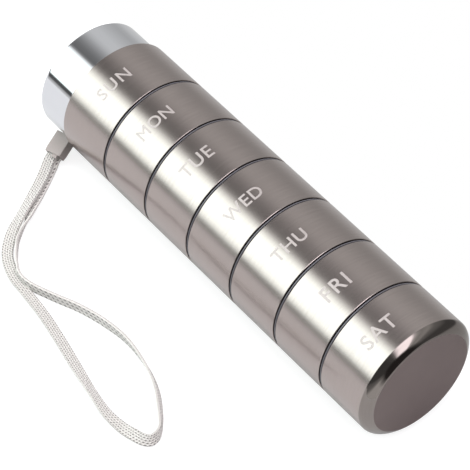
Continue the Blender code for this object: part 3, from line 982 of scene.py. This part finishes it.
def make_floor():
    """The white table. It lights the part softly, and looks white to the camera."""
    bpy.ops.object.select_all(action="DESELECT")
    size = (TABLE_X[1] - TABLE_X[0], TABLE_Y[1] - TABLE_Y[0])
    centre = (sum(TABLE_X) / 2, sum(TABLE_Y) / 2, -TABLE_GAP)
    bpy.ops.mesh.primitive_plane_add(size=1.0, location=centre)
    floor = bpy.context.object
    floor.name = "table"
    floor.scale = (*size, 1.0)
    bpy.ops.object.transform_apply(location=True, rotation=True, scale=True)
    made, tree, shader, _ = new_material("white_table")
    seen = add_node(tree, "ShaderNodeBsdfPrincipled")
    for face, (tone, glow) in ((shader, TABLE_LIT), (seen, TABLE_SEEN)):
        matt = [
            ("Base Color", (tone, tone, tone, 1.0)),
            ("Roughness", 0.9),
            ("Specular IOR Level", 0.0),
            ("Emission Color", (1.0, 1.0, 1.0, 1.0)),
            ("Emission Strength", glow),
        ]
        set_inputs(tree, face, matt)
    path = add_node(tree, "ShaderNodeLightPath")
    shown = [("Fac", path.outputs["Is Camera Ray"]), (1, shader.outputs[0]), (2, seen.outputs[0])]
    pale = add_node(tree, "ShaderNodeMixShader", shown)
    output = next(n for n in tree.nodes if n.type == "OUTPUT_MATERIAL")
    tree.links.new(pale.outputs[0], output.inputs["Surface"])
    floor.data.materials.append(made)


# The studio seen from the tube, as angles about the tube's axis in degrees from +Y through the
# top, each with its brightness: a long soft box on the near side of a dim room, and on the side
# of the base a dark room with a strip light overhead
SOFT_BOX = (
    (-180, 0.5),
    (-176, 0.75),
    (-172, 1.0),
    (-100, 0.85),
    (-60, 0.60),
    (-36, 0.65),
    (-15, 0.60),
    (-2, 0.50),
    (8, 0.47),
    (20, 0.52),
    (45, 0.65),
    (58, 0.65),
    (66, 0.57),
    (77, 0.38),
    (85, 0.27),
    (93, 0.20),
    (102, 0.17),
    (106, 0.32),
    (109, 0.95),
    (113, 1.7),
    (118, 2.8),
    (126, 3.3),
    (160, 3.1),
    (166, 2.5),
    (170, 1.4),
    (171.5, 0.10),
    (177, 0.10),
    (180, 0.5),
)
STRIP_LIGHT = (
    (-180, 0.30),
    (-172, 0.35),
    (-165, 0.60),
    (-158, 0.92),
    (-95, 0.95),
    (-60, 0.75),
    (-36, 0.55),
    (-16, 0.50),
    (-11, 0.14),
    (8, 0.14),
    (20, 0.28),
    (32, 0.36),
    (44, 0.70),
    (58, 0.60),
    (66, 0.85),
    (72, 1.4),
    (77, 3.6),
    (103, 3.4),
    (109, 2.4),
    (116, 0.40),
    (122, 0.16),
    (135, 0.11),
    (172, 0.12),
    (180, 0.30),
)
BRIGHTEST = 4.0
BOX_TINT = (0.895, 1.0, 0.975)
STRIP_TINT = (1.0, 0.95, 1.0)
TINTED_FROM = 1.2

# How far towards +X the near side's room gives way to the base's, and that to the dark
# straight out from the base
BASE_ROOM = (-0.30, -0.12)
BASE_END = (0.90, 0.96)
END_TONE = (0.012, 0.011, 0.011, 1.0)

LAMP_SIZE = 1.2
LAMP_PLACE = (-0.25, -0.15, 1.0)
LAMP_ENERGY = 4.0


def paint_bands(ramp, bands, tint):
    """Fill a colour ramp, which goes once round the tube, with a room's bands. The bright ones
    are tinted."""
    for degrees, _ in bands[1:-1]:
        ramp.elements.new((degrees + 180) / 360)
    for stop, (degrees, light) in zip(ramp.elements, bands):
        stop.position = (degrees + 180) / 360
        colour = tint if light > TINTED_FROM else (1.0, 1.0, 1.0)
        stop.color = (*[light * c / BRIGHTEST for c in colour], 1.0)


def make_light():
    """A studio whose light comes from all round, pale where the camera sees it, and a broad
    lamp overhead that lights cloth and table without a reflection."""
    world = bpy.data.worlds.new("studio")
    bpy.context.scene.world = world
    world.use_nodes = True
    tree = world.node_tree
    tree.nodes.clear()
    output = add_node(tree, "ShaderNodeOutputWorld")
    coords = add_node(tree, "ShaderNodeTexCoord")
    part = add_node(tree, "ShaderNodeSeparateXYZ", [("Vector", coords.outputs["Generated"])])
    sides = [(0, part.outputs["Z"]), (1, part.outputs["Y"])]
    angle = add_node(tree, "ShaderNodeMath", sides, operation="ARCTAN2")
    limits = [("Value", angle.outputs[0]), ("From Min", -math.pi), ("From Max", math.pi)]
    turn = add_node(tree, "ShaderNodeMapRange", limits)
    rooms = []
    for bands, tint in ((SOFT_BOX, BOX_TINT), (STRIP_LIGHT, STRIP_TINT)):
        ramp = add_node(tree, "ShaderNodeValToRGB", [("Fac", turn.outputs["Result"])])
        paint_bands(ramp.color_ramp, bands, tint)
        rooms.append(ramp.outputs["Color"])
    here, base = rooms
    for (low, high), beyond in ((BASE_ROOM, base), (BASE_END, END_TONE)):
        limits = [("Value", part.outputs["X"]), ("From Min", low), ("From Max", high)]
        change = add_node(tree, "ShaderNodeMapRange", limits)
        tones = [("Factor", change.outputs["Result"]), (MIX_FIRST, here), (MIX_SECOND, beyond)]
        here = add_node(tree, "ShaderNodeMix", tones, data_type="RGBA").outputs[MIX_RESULT]
    lit = add_node(tree, "ShaderNodeBackground", [("Color", here), ("Strength", BRIGHTEST)])
    white = [("Color", (1.0, 1.0, 1.0, 1.0)), ("Strength", 1.0)]
    pale = add_node(tree, "ShaderNodeBackground", white)
    path = add_node(tree, "ShaderNodeLightPath")
    shown = [("Fac", path.outputs["Is Camera Ray"]), (1, lit.outputs[0]), (2, pale.outputs[0])]
    seen = add_node(tree, "ShaderNodeMixShader", shown)
    tree.links.new(seen.outputs[0], output.inputs["Surface"])
    lamp_data = bpy.data.lights.new("overhead", "AREA")
    lamp_data.shape = "DISK"
    lamp_data.size = LAMP_SIZE
    lamp_data.energy = LAMP_ENERGY
    lamp = bpy.data.objects.new("overhead", lamp_data)
    lamp.location = LAMP_PLACE
    lamp.rotation_euler = Vector(LAMP_PLACE).to_track_quat("Z", "Y").to_euler()
    lamp.visible_glossy = False
    bpy.context.scene.collection.objects.link(lamp)
    bpy.context.scene.view_settings.view_transform = "Standard"


add_camera()
TAPE = knitted_tape()
GRIP = moulded_plastic("soft_pvc", ("9c928e", "a89e9b"), 0.45, 0.4 * MM)
CORD = moulded_plastic("twisted_nylon", ("c9c8c4", "dddcd8"), 0.7, 0.3 * MM)
make_strap(TAPE, GRIP, CORD)
STEEL = brushed_steel("brushed_steel", ("a79d99", "b5aba7"), 0.24, 0.3)
# The rim is polished steel, also painted darker than the side's: painted shade for the dark room it
# reflects.
DARKENED_RIM_STEEL = brushed_steel("polished_rim_steel_painted_dark", ("87807b", "918a86"), 0.09, 0.03)
# The base is satin steel, painted darker than the side's: painted shade for the dark room it
# reflects.
DARKENED_BASE_STEEL = brushed_steel("satin_base_steel_painted_dark", ("726664", "7b6f6c"), 0.40, 0.1)
CHROME = mirror_chrome()
LUG_STEEL = brushed_steel("satin_lug_steel", ("6b6664", "777270"), 0.45, 0.1)
for slot in bpy.data.objects["strap_lug"].material_slots:
    slot.material = LUG_STEEL
LINER = moulded_plastic("liner_polypropylene", ("58565c", "636166"), 0.25, 0.3 * MM)
RUBBER = moulded_plastic("seal_silicone", ("b8b8b4", "c4c4c0"), 0.6, 0.4 * MM)
make_steel(STEEL, DARKENED_RIM_STEEL, DARKENED_BASE_STEEL)
make_lid(CHROME, LINER)
make_liners(LINER, RUBBER)
make_names(etched_steel())
make_floor()
make_light()
